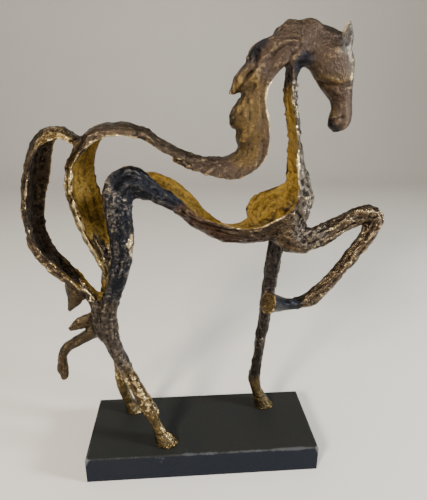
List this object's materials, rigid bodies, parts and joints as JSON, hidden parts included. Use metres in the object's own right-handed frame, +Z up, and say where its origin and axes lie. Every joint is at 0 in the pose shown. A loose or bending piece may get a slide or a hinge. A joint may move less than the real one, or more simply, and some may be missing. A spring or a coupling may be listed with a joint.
{
  "type": "openwork horse sculpture",
  "caption": "Openwork horse cast in flowing bands, raised on a rectangular plinth, with one foreleg lifted and the tail arched clear of the rump.",
  "frame": {"origin": "centre of the plinth's underside", "axes": "+X towards the horse's head, +Y towards the horse's left flank, +Z up"},
  "size_m": [0.3572, 0.1, 0.4721],
  "materials": {
    "patinated_metal": "dark bronze-brown patina rubbed through to old gold on the raised edges, with matt gold hollows",
    "black_painted_wood": "charcoal paint, satin, worn pale along the top edges"
  },
  "bodies": {
    "root": {"horse": "patinated_metal", "plinth": "black_painted_wood"}
  },
  "joints": []
}
